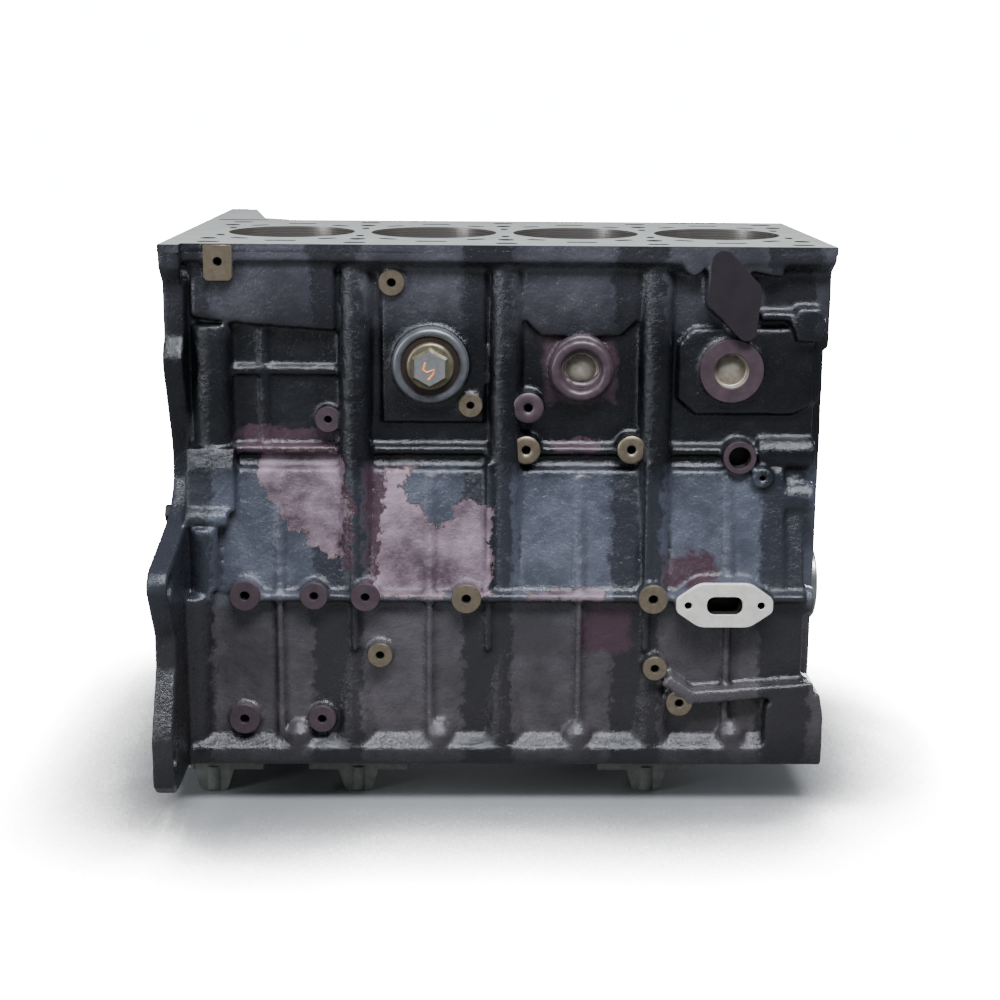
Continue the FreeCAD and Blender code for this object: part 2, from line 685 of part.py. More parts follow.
# ---------------------------------------------------------------- main bearing caps
def bearing_cap(index):
    """A cap of one bearing; the wide ones reach the skirt and end in an ear and a foot each side."""
    x = mains[index]
    half = cap_half(index)
    wide = half == wide_cap_half
    ear_top = rail_z - ear_below_rail + ear_z
    under = crank_z - cap_height
    top = crank_z - seat_gap
    x0 = x - main_width / 2
    if wide:
        right = [
            (half - 22, under), (half - 20, ear_top), (half - 20, ear_top - ear_z), (half, ear_top - ear_z),
            (half, top),
        ]
        radii = [9, 0, 0, 0, 0]
    else:
        right = [(half - 16, under), (half, under + 14), (half, top)]
        radii = [0, 0, 0]
    left = [(-y, z) for y, z in right[::-1]]
    body = prism_x(right + left, radii + radii[::-1], x0, x0 + main_width)
    if wide:
        foot_z = ear_top - ear_z
        for side in (-1, 1):
            outer = side * half
            inner = side * (half - 20)
            ear_start = max(x - ear_width / 2, rear_x + carrier_lip + 1.0)
            ear = prism_y(rect(ear_start, x + ear_width / 2, foot_z, ear_top), 0, outer, inner)
            foot = prism_y(
                [(x - foot_width / 2, foot_z + 2), (x + foot_width / 2, foot_z + 2),
                 (x + foot_width / 2 - 5, foot_z - foot_drop), (x - foot_width / 2 + 5, foot_z - foot_drop)],
                [0, 0, 6, 6], outer, side * (half - 24),
            )
            stem = rod_z(6.2, foot_z - foot_drop + 1.5, foot_z + 2, x, side * (half - 4.5))
            body = body.multiFuse([ear, foot, stem])
    cutters = [rod_x(housing_r, x0 - 1, x0 + main_width + 1, 0, crank_z)]
    for side in (-1, 1):
        cutters.append(rod_z(cap_bolt_d / 2 + seat_gap, under - 1, crank_z + 1, x, side * cap_bolt_y))
    if index == len(mains) - 1:
        pin_r = front_pin_d / 2 + seat_gap
        pin_z = crank_z - front_pin_drop
        cutters.append(rod_x(pin_r, mains[-1] - 2 - seat_gap, x0 + main_width + 1, 0, pin_z))
    return body.cut(cutters).Solids[0]


def cap_bolts():
    """Two hexagon bolts to a bearing, all alike."""
    bolts = []
    seat = crank_z - cap_height - seat_gap
    for x in mains:
        for side in (-1, 1):
            y = side * cap_bolt_y
            shank = rod_z(cap_bolt_d / 2, seat - 1, crank_z + cap_bolt_reach, x, y)
            head = prism_z(hexagon(cap_bolt_across, x, y), 0, seat - cap_bolt_head, seat)
            bolts.append(shank.fuse(head).Solids[0])
    return Part.makeCompound(bolts)


def bearing_shells(upper):
    """The upper or the lower halves of the plain bearings, all alike."""
    halves = []
    inner = main_d / 2.0 + running_gap
    width = main_width - 4.0
    reach = shell_r + 5.0
    low = crank_z + seat_gap / 2 if upper else crank_z - reach - seat_gap / 2
    for x in mains:
        ring = rod_x(shell_r, x - width / 2, x + width / 2, 0, crank_z)
        ring = ring.cut(rod_x(inner, x - width, x + width, 0, crank_z))
        keep = Part.makeBox(width + 2, 2 * reach, reach, V(x - width / 2 - 1, -reach, low))
        halves.append(ring.common(keep).Solids[0])
    return Part.makeCompound(halves)


def thrust_washer(side):
    """The upper half ring beside the middle bearing that holds the crankshaft endways."""
    x = mains[len(mains) // 2] + side * (main_width / 2 + seat_gap)
    thick = cheek_gap - end_float
    x0 = x if side > 0 else x - thick
    ring = rod_x(thrust_r, x0, x0 + thick, 0, crank_z)
    ring = ring.cut(rod_x(main_d / 2 + 1.5, x0 - 1, x0 + thick + 1, 0, crank_z))
    reach = thrust_r + 5.0
    keep = Part.makeBox(thick + 4, 2 * reach, reach, V(x0 - 2, -reach, crank_z + seat_gap))
    return ring.common(keep).Solids[0]


# ---------------------------------------------------------------- crankshaft
def throw_up(cylinder):
    """Crank pins of the outer cylinders point up together, and those of the inner ones down."""
    return 1 if cylinder in (0, cylinders - 1) else -1


def crank_web(x0, x1, up):
    """A web: a bevelled head round the pin, tapering sides, and a fan-shaped counterweight opposite."""
    throw = stroke / 2.0
    head_r = pin_d / 2.0 + web_rim
    fan = math.radians(58)
    fan_y = counterweight_r * math.sin(fan)
    fan_z = -counterweight_r * math.cos(fan)
    waist_y = fan_y * 0.62
    waist_z = fan_z + 22
    one_side = [
        (fan_y, fan_z), (waist_y, waist_z), (head_r, throw - 2), (head_r * 0.84, throw + head_r * 0.62),
        (head_r * 0.4, throw + head_r),
    ]
    outline = one_side + [(-y, z) for y, z in one_side[::-1]]
    points = [V(x0, y, crank_z + up * z) for y, z in outline]
    edges = [Part.LineSegment(a, b).toShape() for a, b in zip(points[:-1], points[1:])]
    lowest = V(x0, 0, crank_z - up * counterweight_r)
    edges.append(Part.Arc(points[-1], lowest, points[0]).toShape())
    return Part.Face(Part.Wire(edges)).extrude(V(x1 - x0, 0, 0))


def crankshaft():
    journal = main_d / 2.0
    half_main = main_width / 2.0 + cheek_gap
    seal_x = rear_x - flange_out
    solids = []
    for i, x in enumerate(mains):
        x0 = seal_x + 1 if i == 0 else x - half_main - 0.5
        x1 = front_x + 0.3 if i == len(mains) - 1 else x + half_main + 0.5
        solids.append(rod_x(journal, x0, x1, 0, crank_z))
    for cylinder, x in enumerate(row):
        up = throw_up(cylinder)
        pin_z = crank_z + up * stroke / 2.0
        solids.append(rod_x(pin_d / 2.0, x - pin_width / 2 - 0.5, x + pin_width / 2 + 0.5, 0, pin_z))
        solids.append(crank_web(mains[cylinder] + half_main, x - pin_width / 2, up))
        solids.append(crank_web(x + pin_width / 2, mains[cylinder + 1] - half_main, up))
    solids.append(rod_x(flange_d / 2.0, seal_x, mains[0] - main_width / 2 - cheek_gap, 0, crank_z))
    nose = rod_x(nose_d / 2.0, front_x - 2.0, front_x + nose_out, 0, crank_z)
    solids.append(nose.makeChamfer(1.2, [nose.Edges[0]]))
    shaft = joined(solids)
    cutters = [rod_x(spigot_r, seal_x - 1, seal_x + 14, 0, crank_z)]
    cutters.append(rod_x(nose_tap_r, front_x - 20, front_x + nose_out + 1, 0, crank_z))
    for k in range(flange_bolts):
        angle = 2 * math.pi * k / flange_bolts
        y = flange_pcd / 2.0 * math.cos(angle)
        z = crank_z + flange_pcd / 2.0 * math.sin(angle)
        cutters.append(rod_x(flange_tap_d / 2.0, seal_x - 1, seal_x + 13, y, z))
    return shaft.cut(cutters).Solids[0]


# ---------------------------------------------------------------- rear seal, pins and plugs
def seal_carrier():
    """The light-alloy housing of the rear oil seal, with a lip under the bell-housing plate."""
    low = rail_z - carrier_drop
    shoulder = crank_z + seal_bore_r - 16
    top = crank_z + seal_bore_r + 10
    outer_x = rear_x - carrier_thick - seat_gap
    inner_x = rear_x - seat_gap
    side = [(carrier_half, low), (carrier_half, rail_z + 30)]
    side += [(seal_bore_r + 8, shoulder), (seal_bore_r - 10, top)]
    outline = side + [(-y, z) for y, z in side[::-1]]
    face = prism_x(outline, 0, outer_x, inner_x)
    lip_outline = rect(-carrier_half, carrier_half, low, rail_z - seat_gap)
    lip = prism_x(lip_outline, 0, outer_x + 1, rear_x + carrier_lip)
    cutters = [rod_x(seal_bore_r - 4, outer_x - 1, rear_x + carrier_lip + 1, 0, crank_z)]
    for y, z in carrier_bolt_places():
        cutters.append(rod_x(carrier_bolt_d / 2 + seat_gap, outer_x - 1, inner_x + 1, y, z))
    return face.fuse(lip).cut(cutters).Solids[0]


def carrier_bolt_places():
    """Three a side, round the seal."""
    one_side = [
        (carrier_half - 8, rail_z + 10), (seal_bore_r + 10, crank_z + 4),
        (seal_bore_r - 16, crank_z + seal_bore_r + 1),
    ]
    return [(side * y, z) for side in (-1, 1) for y, z in one_side]


def carrier_bolts():
    """Six small hexagon bolts, all alike."""
    bolts = []
    seat = rear_x - carrier_thick - 2 * seat_gap
    for y, z in carrier_bolt_places():
        shank = rod_x(carrier_bolt_d / 2, seat - 1, rear_x - seat_gap, y, z)
        head = prism_x(hexagon(carrier_bolt_across, y, z), 0, seat - carrier_bolt_head, seat)
        bolts.append(shank.fuse(head).Solids[0])
    return Part.makeCompound(bolts)


def oil_seal():
    """The rubber ring between the flywheel flange and its carrier."""
    x0 = rear_x - carrier_thick + 1
    outer = rod_x(seal_bore_r - 4 - seat_gap, x0, x0 + seal_ring_width, 0, crank_z)
    return outer.cut(rod_x(flange_d / 2.0 + running_gap, x0 - 1, x0 + seal_ring_width + 1, 0, crank_z))


def core_plug(x, side, proud):
    """A pressed-steel cup, open side out, pushed into its bore in the wall."""
    radius = core_plug_d / 2.0 - seat_gap
    mouth = V(x, side * (jacket_wall + proud - 1.5), core_plug_z)
    inward = V(0, -side, 0)
    base = Part.makeCylinder(radius, core_cup_depth, mouth, inward)
    hollow = Part.makeCylinder(radius - core_cup_wall, core_cup_depth - core_cup_wall, mouth, inward)
    return base.cut(hollow)


def hex_plug(x):
    """The screwed plug with a hexagon head, over its sealing washer."""
    face = -jacket_wall - hex_ring_out - washer_thick - 2 * seat_gap
    shank = rod_y(hex_plug_d / 2.0 - seat_gap, face - 1, -jacket_wall + 12, x, hex_plug_z)
    collar = rod_y(hex_collar_r, face - 2.5, face, x, hex_plug_z)
    head = prism_y(hexagon(hex_across, x, hex_plug_z), 0, face - 2.5 - hex_high, face - 1)
    return shank.multiFuse([collar, head]).Solids[0]


def hex_washer(x):
    """The flat ring under the hexagon plug."""
    y0 = -jacket_wall - hex_ring_out - washer_thick - seat_gap
    ring = rod_y(hex_collar_r + 1.5, y0, y0 + washer_thick, x, hex_plug_z)
    return ring.cut(rod_y(hex_plug_d / 2.0 + 0.05, y0 - 1, y0 + washer_thick + 1, x, hex_plug_z))


def front_pin():
    """The small dowel below the crank nose, set in the foremost cap."""
    return rod_x(front_pin_d / 2, mains[-1] - 2, front_x + 7, 0, crank_z - front_pin_drop)


os.makedirs("parts", exist_ok=True)
write("engine_block", engine_block())
for number in range(len(mains)):
    write("main_bearing_cap_%d" % (number + 1), bearing_cap(number))
write("cap_bolts", cap_bolts())
write("bearing_shells_upper", bearing_shells(True))
write("bearing_shells_lower", bearing_shells(False))
write("thrust_washer_rear", thrust_washer(-1))
write("thrust_washer_front", thrust_washer(1))
write("crankshaft", crankshaft())
write("rear_seal_carrier", seal_carrier())
write("carrier_bolts", carrier_bolts())
write("rear_oil_seal", oil_seal())
write("core_plugs_near", Part.makeCompound([core_plug(x, -1, near_core_out) for x in row[2:]]))
write("core_plugs_far", Part.makeCompound([core_plug(x, 1, far_core_out) for x in row[1:]]))
write("hex_plug", hex_plug(row[1]))
write("hex_plug_washer", hex_washer(row[1]))
write("front_dowel_pin", front_pin())
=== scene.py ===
import json
import math
import bmesh
import bpy
from mathutils import Matrix, Vector, noise


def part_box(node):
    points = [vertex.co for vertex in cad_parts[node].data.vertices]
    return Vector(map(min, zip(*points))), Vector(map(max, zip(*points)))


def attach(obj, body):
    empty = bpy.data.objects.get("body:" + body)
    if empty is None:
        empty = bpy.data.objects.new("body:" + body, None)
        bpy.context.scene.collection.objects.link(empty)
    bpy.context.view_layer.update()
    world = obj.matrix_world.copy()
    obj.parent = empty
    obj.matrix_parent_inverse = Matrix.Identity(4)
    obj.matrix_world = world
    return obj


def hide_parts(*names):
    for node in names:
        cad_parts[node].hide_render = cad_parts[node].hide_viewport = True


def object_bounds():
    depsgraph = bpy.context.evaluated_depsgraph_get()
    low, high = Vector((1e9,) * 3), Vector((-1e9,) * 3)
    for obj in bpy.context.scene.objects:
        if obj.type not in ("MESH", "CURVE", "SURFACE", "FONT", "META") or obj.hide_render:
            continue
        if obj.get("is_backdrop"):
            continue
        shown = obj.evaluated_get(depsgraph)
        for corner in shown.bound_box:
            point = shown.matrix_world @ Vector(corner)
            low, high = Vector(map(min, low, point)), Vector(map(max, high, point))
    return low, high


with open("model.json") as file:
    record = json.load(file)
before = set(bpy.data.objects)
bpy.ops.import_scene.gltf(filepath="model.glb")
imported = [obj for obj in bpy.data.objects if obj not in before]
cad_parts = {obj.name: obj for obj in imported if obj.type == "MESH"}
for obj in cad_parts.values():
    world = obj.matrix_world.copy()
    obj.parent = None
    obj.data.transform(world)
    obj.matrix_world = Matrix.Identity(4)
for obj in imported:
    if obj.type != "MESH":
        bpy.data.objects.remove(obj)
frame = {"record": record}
cad_low, cad_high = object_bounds()
mm = 0.001


# ---------------------------------------------------------------- the photographer's booth
# A matt grey board under the part, and a pale room round it. Both glow for the camera, so that they
# show white, and the board's glow fades where the part shades it. Three soft boxes light the part:
# a broad one above and in front, a narrow one to the left, and one behind, below the deck.
def linear(hex_colour):
    """An sRGB hex colour as the linear RGBA that a shader takes."""
    parts = [int(hex_colour[i:i + 2], 16) / 255 for i in (0, 2, 4)]
    return [p / 12.92 if p <= 0.04045 else ((p + 0.055) / 1.055) ** 2.4 for p in parts] + [1.0]


def add(tree, kind, inputs, **settings):
    """One shader node, with its settings, and each input either joined to a socket or given a value."""
    made = tree.nodes.new(kind)
    for name, value in settings.items():
        setattr(made, name, value)
    for name, value in inputs.items():
        if isinstance(value, bpy.types.NodeSocket):
            tree.links.new(value, made.inputs[name])
        else:
            made.inputs[name].default_value = value
    return made


def blank(name):
    """A new material's node tree with its surface shader and the piece's own coordinates."""
    made = bpy.data.materials.new(name)
    made.use_nodes = True
    tree = made.node_tree
    place = add(tree, "ShaderNodeTexCoord", {}).outputs["Object"]
    return made, tree, tree.nodes["Principled BSDF"], place


def finished(name, bm, *finishes):
    """A bmesh made into an object with its finishes, its place kept in its mesh."""
    mesh = bpy.data.meshes.new(name)
    bm.to_mesh(mesh)
    bm.free()
    made = bpy.data.objects.new(name, mesh)
    bpy.context.scene.collection.objects.link(made)
    for finish in finishes:
        mesh.materials.append(finish)
    return made


board, tree, surface, place = blank("matt_grey_board")
surface.inputs["Base Color"].default_value = linear("787878")
surface.inputs["Roughness"].default_value = 0.9
shade = add(tree, "ShaderNodeAmbientOcclusion", {"Distance": 0.14}, samples=16)
fall = add(tree, "ShaderNodeMath", {0: shade.outputs["AO"], 1: 12.0}, operation="POWER")
clear = add(tree, "ShaderNodeMapRange", {"Value": fall.outputs["Value"], "To Max": 28.0})
sight = add(tree, "ShaderNodeLightPath", {})
glow = add(tree, "ShaderNodeMath", {
    0: sight.outputs["Is Camera Ray"], 1: clear.outputs["Result"]}, operation="MULTIPLY")
surface.inputs["Emission Color"].default_value = (1, 1, 1, 1)
tree.links.new(glow.outputs["Value"], surface.inputs["Emission Strength"])
bm = bmesh.new()
bmesh.ops.create_grid(bm, x_segments=1, y_segments=1, size=6.0, matrix=Matrix.Translation((0, 0, cad_low.z)))
finished("floor", bm, board)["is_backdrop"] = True

room = bpy.data.worlds.new("pale_room")
bpy.context.scene.world = room
room.use_nodes = True
tree = room.node_tree
tree.nodes["Background"].inputs["Color"].default_value = (0.86, 0.92, 1.0, 1.0)
sight = add(tree, "ShaderNodeLightPath", {})
glow = add(tree, "ShaderNodeMapRange", {
    "Value": sight.outputs["Is Camera Ray"], "To Min": 0.22, "To Max": 22.0})
tree.links.new(glow.outputs["Result"], tree.nodes["Background"].inputs["Strength"])

for name, at, aim, wide, high, watts in (
        ("box_above", (0.15, -0.75, 1.0), (0, -0.05, -0.1), 1.0, 0.35, 52.0),
        ("box_left", (-1.2, -0.8, 0.3), (-0.05, -0.05, -0.15), 0.3, 0.8, 13.0),
        ("box_behind", (0.5, 1.4, -0.17), (0, 0, -0.17), 0.9, 0.28, 24.0)):
    lamp_data = bpy.data.lights.new(name, "AREA")
    lamp_data.shape, lamp_data.color = "RECTANGLE", (0.88, 0.93, 1.0)
    lamp_data.size, lamp_data.size_y, lamp_data.energy = wide, high, watts
    lamp = bpy.data.objects.new(name, lamp_data)
    lamp.location = at
    lamp.rotation_euler = (Vector(aim) - Vector(at)).to_track_quat("-Z", "Y").to_euler()
    bpy.context.scene.collection.objects.link(lamp)

camera_data = bpy.data.cameras.new("camera")
camera_data.lens, camera_data.sensor_width, camera_data.shift_y = 55.5, 36.0, -0.1
camera = bpy.data.objects.new("camera", camera_data)
down, right, tilt = (math.radians(a) for a in (11.22, 0.93, 0.47))
camera.matrix_world = (
    Matrix.Translation((-0.0189, -1.0271, 0.0904)) @ Matrix.Rotation(-right, 4, "Z")
    @ Matrix.Rotation(math.pi / 2 - down, 4, "X") @ Matrix.Rotation(tilt, 4, "Z"))
bpy.context.scene.collection.objects.link(camera)
bpy.context.scene.camera = camera

# ---------------------------------------------------------------- the casting
# One grey-iron sand casting, painted blue-black over a rose primer that shows where the paint has
# gone. Every as-cast edge and corner is soft, so the solid is reskinned with small cells and eased.
block = bpy.data.objects["engine_block"]
block_low, block_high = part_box("engine_block")
wall_cut = -58 * mm         # the near wall, in fine cells, is in front of this
deck_cut = -5 * mm          # above this the deck keeps its machined edges
bore_x = [m["pos_m"][0] for m in frame["record"]["mounts"] if m["name"].startswith("cylinder_")]
bore_r = frame["record"]["mounts"][1]["dims"]["r_mm"] * mm


def merged(node):
    """A copy of a node's solid with its triangles joined up."""
    bm = bmesh.new()
    bm.from_mesh(bpy.data.objects[node].data)
    bmesh.ops.remove_doubles(bm, verts=bm.verts, dist=1e-6)
    return bm


def reskinned(cell, easing):
    """The block's solid in even cells, with its corners eased."""
    form = finished("cast_form", merged("engine_block"))
    skin = form.modifiers.new("cells", "REMESH")
    skin.mode, skin.voxel_size, skin.use_smooth_shade = "VOXEL", cell, True
    ease = form.modifiers.new("ease", "SMOOTH")
    ease.factor, ease.iterations = 0.5, easing
    seen = form.evaluated_get(bpy.context.evaluated_depsgraph_get())
    bm = bmesh.new()
    bm.from_mesh(seen.to_mesh())
    seen.to_mesh_clear()
    bpy.data.objects.remove(form)
    return bm


def cut(bm, at, away):
    """Cuts a mesh at a plane and drops the side that the given direction points to."""
    parts = bm.verts[:] + bm.edges[:] + bm.faces[:]
    bmesh.ops.bisect_plane(bm, geom=parts, plane_co=at, plane_no=away, clear_outer=True)


def in_bore(point):
    """Whether a point is at the wall of a cylinder, or inside it."""
    if point.z < -0.151:
        return False
    return any(math.hypot(point.x - x, point.y) < bore_r + 1.2 * mm for x in bore_x)


def roughened(bm, height):
    """Sand-cast unevenness, kept inside the solid's own box."""
    for v in bm.verts:
        swell = noise.noise(v.co * 90.0) + 0.5 * noise.noise(v.co * 260.0)
        v.co += v.normal * (swell * height)
        for axis in range(3):
            v.co[axis] = min(max(v.co[axis], block_low[axis]), block_high[axis])


# Painted iron: lengths are in metres, so a noise scale of 250 gives 4 mm grains.
painted_iron, tree, surface, place = blank("blue_black_paint")
broad = add(tree, "ShaderNodeTexNoise", {"Vector": place, "Scale": 28.0, "Detail": 5.0, "Roughness": 0.6})
grain = add(tree, "ShaderNodeTexNoise", {"Vector": place, "Scale": 420.0, "Detail": 4.0, "Roughness": 0.65})
flakes = add(tree, "ShaderNodeTexNoise", {"Vector": place, "Scale": 110.0, "Detail": 6.0, "Roughness": 0.7})
shape = add(tree, "ShaderNodeNewGeometry", {})
warp = 22 * mm              # how far the noise moves an edge at most; half of it on average
warped = add(tree, "ShaderNodeVectorMath", {
    0: flakes.outputs["Color"], 1: (warp, 0.0, warp), 2: place}, operation="MULTIPLY_ADD")
apart = add(tree, "ShaderNodeSeparateXYZ", {"Vector": warped.outputs["Vector"]})
# The paint's tone runs with height: darker towards the pan rail, brownish grey below the crankcase bays, grey
# on the bays, near-black above them and lighter again just under the deck. The grey of the bays is partly the
# paint's own tone and partly painted light, as their walls lean up to the light above.
painted_high = 329          # deck to pan rail, in millimetres
height = add(tree, "ShaderNodeMapRange", {
    "Value": apart.outputs["Z"], "From Min": warp / 2 - painted_high * mm, "From Max": warp / 2})
height_tone_and_light = add(tree, "ShaderNodeValToRGB", {"Fac": height.outputs["Result"]})
height_tone_and_light.color_ramp.elements.remove(height_tone_and_light.color_ramp.elements[1])
height_tone_and_light.color_ramp.elements[0].color = linear("1C1B1D")
for z, colour in ((-300, "464143"), (-228, "434043"), (-216, "4B4D57"), (-150, "41444E"), (-135, "0B0C10"),
                  (-60, "0A0B0F"), (-30, "3B3A40")):
    height_tone_and_light.color_ramp.elements.new(1 + z / painted_high).color = linear(colour)
# The columns, which stand one bore pitch apart, are near-black: partly the paint's own tone, partly painted
# shade, as they stand upright while the bays lean up to the light.
pitch = bore_x[1] - bore_x[0]
off_column = add(tree, "ShaderNodeMath", {0: apart.outputs["X"], 1: pitch / 2}, operation="PINGPONG")
column_black_and_shade = add(tree, "ShaderNodeMapRange", {
    "Value": off_column.outputs["Value"], "From Min": 18 * mm, "From Max": 14 * mm, "To Max": 0.75})
thin = add(tree, "ShaderNodeMapRange", {
    "Value": broad.outputs["Fac"], "From Min": 0.35, "From Max": 0.6, "To Min": 0.45, "To Max": 0.0})
depth = add(tree, "ShaderNodeMath", {
    0: column_black_and_shade.outputs["Result"], 1: thin.outputs["Result"]}, operation="MAXIMUM")
paint = add(tree, "ShaderNodeMix", {
    "Factor": depth.outputs["Value"], 6: height_tone_and_light.outputs["Color"], 7: linear("050609")}, data_type="RGBA")
# Worn patches: centre x and z, half width and half height in millimetres, and a turn in degrees.
# The first group is down to pale rose primer, the second to dark primer, and the third is paint
# that still covers parts of them.
reach = []
for group in (
        ((-128, -155, 27, 24, 0), (-112, -176, 12, 19, 8), (-64, -180, 15, 40, 5), (-20, -188, 12, 29, 0),
         (-40, -196, 24, 22, 0), (38, -218, 24, 3.5, 0), (-53, -217, 11, 3, 0)),
        ((-138, -125, 32, 9, 0), (-70, -178, 20, 41, 0), (-99, -176, 5, 28, 0), (64, -240, 17, 18, 0),
         (117, -203, 18, 11, 0), (45, -128, 17, 4, 0), (46, -79, 24, 22, 0)),
        ((-164, -163, 15, 34, -35), (-137, -194, 24, 11, 20), (-43, -152, 17, 17, 45),
         (-16, -148, 12, 14, 0))):
    nearest = None
    for x, z, half_x, half_z, turn in group:
        local = add(tree, "ShaderNodeMapping", {
            "Vector": warped.outputs["Vector"], "Rotation": (0, math.radians(turn), 0),
            "Location": (x * mm + warp / 2, 0, z * mm + warp / 2),
            "Scale": (half_x * mm, 1000, half_z * mm)}, vector_type="TEXTURE")
        bare_way = add(tree, "ShaderNodeVectorMath", {0: local.outputs["Vector"]}, operation="ABSOLUTE")
        sides = add(tree, "ShaderNodeSeparateXYZ", {"Vector": bare_way.outputs["Vector"]})
        way = add(tree, "ShaderNodeMath", {
            0: sides.outputs["X"], 1: sides.outputs["Z"]}, operation="MAXIMUM").outputs["Value"]
        nearest = way if nearest is None else add(
            tree, "ShaderNodeMath", {0: nearest, 1: way}, operation="MINIMUM").outputs["Value"]
    reach.append(nearest)
# The wear is on the near wall alone.
far_side = add(tree, "ShaderNodeMapRange", {
    "Value": apart.outputs["Y"], "From Min": -60 * mm, "From Max": -50 * mm, "To Max": 5.0})
held = add(tree, "ShaderNodeMath", {0: 2.0, 1: reach[2]}, operation="SUBTRACT")
kept = add(tree, "ShaderNodeMath", {
    0: held.outputs["Value"], 1: far_side.outputs["Result"]}, operation="MAXIMUM")
pale_reach = add(tree, "ShaderNodeMath", {0: reach[0], 1: kept.outputs["Value"]}, operation="MAXIMUM")
dark_reach = add(tree, "ShaderNodeMath", {0: reach[1], 1: kept.outputs["Value"]}, operation="MAXIMUM")
worn = add(tree, "ShaderNodeMapRange", {
    "Value": pale_reach.outputs["Value"], "From Min": 1.0, "From Max": 0.95})
worn_dark = add(tree, "ShaderNodeMapRange", {
    "Value": dark_reach.outputs["Value"], "From Min": 1.05, "From Max": 0.8})
rim = add(tree, "ShaderNodeMapRange", {
    "Value": pale_reach.outputs["Value"], "From Min": 0.9, "From Max": 0.99, "To Max": 0.75})
blotch = add(tree, "ShaderNodeMapRange", {"Value": broad.outputs["Fac"], "From Min": 0.36, "From Max": 0.62})
primer = add(tree, "ShaderNodeMix", {
    "Factor": blotch.outputs["Result"], 6: linear("3E2F37"), 7: linear("7E6B76")}, data_type="RGBA")
primer_rim = add(tree, "ShaderNodeMix", {
    "Factor": rim.outputs["Result"], 6: primer.outputs[2], 7: linear("6A4A3A")}, data_type="RGBA")
under = add(tree, "ShaderNodeMix", {
    "Factor": worn_dark.outputs["Result"], 6: paint.outputs[2], 7: linear("38272F")}, data_type="RGBA")
coat = add(tree, "ShaderNodeMix", {
    "Factor": worn.outputs["Result"], 6: under.outputs[2], 7: primer_rim.outputs[2]}, data_type="RGBA")
# Convex edges and rib tops turn lighter grey: partly paint rubbed off the edges, partly painted highlight
# along the ribs.
edges = add(tree, "ShaderNodeMapRange", {
    "Value": shape.outputs["Pointiness"], "From Min": 0.56, "From Max": 0.74, "To Max": 0.8})
edge_wear_and_highlight = add(tree, "ShaderNodeMath", {
    0: edges.outputs["Result"], 1: flakes.outputs["Fac"]}, operation="MULTIPLY")
rubbed_and_highlit = add(tree, "ShaderNodeMix", {
    "Factor": edge_wear_and_highlight.outputs["Value"], 6: coat.outputs[2], 7: linear("6C6E74")}, data_type="RGBA")
# Hollows and creases are darkened towards near-black: this is painted shade.
painted_crease_shade = add(tree, "ShaderNodeMapRange", {
    "Value": shape.outputs["Pointiness"], "From Min": 0.49, "From Max": 0.44, "To Max": 0.8})
crease_shaded_paint = add(tree, "ShaderNodeMix", {
    "Factor": painted_crease_shade.outputs["Result"], 6: rubbed_and_highlit.outputs[2], 7: linear("08080A")}, data_type="RGBA")
tree.links.new(crease_shaded_paint.outputs[2], surface.inputs["Base Color"])
gloss = add(tree, "ShaderNodeMapRange", {"Value": broad.outputs["Fac"], "From Min": 0.35, "From Max": 0.65,
                                         "To Min": 0.17, "To Max": 0.36})
dull = add(tree, "ShaderNodeMath", {0: worn.outputs["Result"], 1: 0.22, 2: gloss.outputs["Result"]},
           operation="MULTIPLY_ADD")
tree.links.new(dull.outputs["Value"], surface.inputs["Roughness"])
fine = add(tree, "ShaderNodeBump", {"Height": grain.outputs["Fac"], "Strength": 0.55, "Distance": 0.0006})
lumps = add(tree, "ShaderNodeBump", {
    "Height": flakes.outputs["Fac"], "Strength": 0.6, "Distance": 0.0022, "Normal": fine.outputs["Normal"]})
flake_step = add(tree, "ShaderNodeBump", {
    "Height": worn.outputs["Result"], "Strength": 0.8, "Distance": 0.0004, "Normal": lumps.outputs["Normal"]},
    invert=True)
tree.links.new(flake_step.outputs["Normal"], surface.inputs["Normal"])

for cell, easing, height, away_y, halves in (
        (1.6 * mm, 5, 0.22 * mm, 1, ("near_wall_rear", "near_wall_front")),
        (3.4 * mm, 2, 0.3 * mm, -1, ("far_wall_rear", "far_wall_front"))):
    skin = reskinned(cell, easing)
    cut(skin, (0, wall_cut, 0), (0, away_y, 0))
    cut(skin, (0, 0, deck_cut), (0, 0, 1))
    inside = [f for f in skin.faces if all(in_bore(v.co) for v in f.verts)]
    bmesh.ops.delete(skin, geom=inside, context="FACES")
    roughened(skin, height)
    for name, away_x in zip(halves, (1, -1)):
        half = skin.copy()
        cut(half, (0, 0, 0), (away_x, 0, 0))
        for face in half.faces:
            face.smooth = True
        piece = finished(name, half, painted_iron)
        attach(piece, "block")
        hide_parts("engine_block")
    skin.free()

# ---------------------------------------------------------------- deck and cylinders
# The top of the casting is milled flat and the cylinders are bored and honed in it, so their
# edges are sharp. The water ways and drains open through the deck.
milled, tree, surface, place = blank("milled_iron")
sweep = add(tree, "ShaderNodeTexNoise", {"Vector": place, "Scale": 60.0, "Detail": 4.0})
tone = add(tree, "ShaderNodeMix", {
    "Factor": sweep.outputs["Fac"], 6: linear("A0A09A"), 7: linear("C4C4BE")}, data_type="RGBA")
tree.links.new(tone.outputs[2], surface.inputs["Base Color"])
surface.inputs["Metallic"].default_value = 0.3
surface.inputs["Roughness"].default_value = 0.4

honed, tree, surface, place = blank("honed_cylinder")
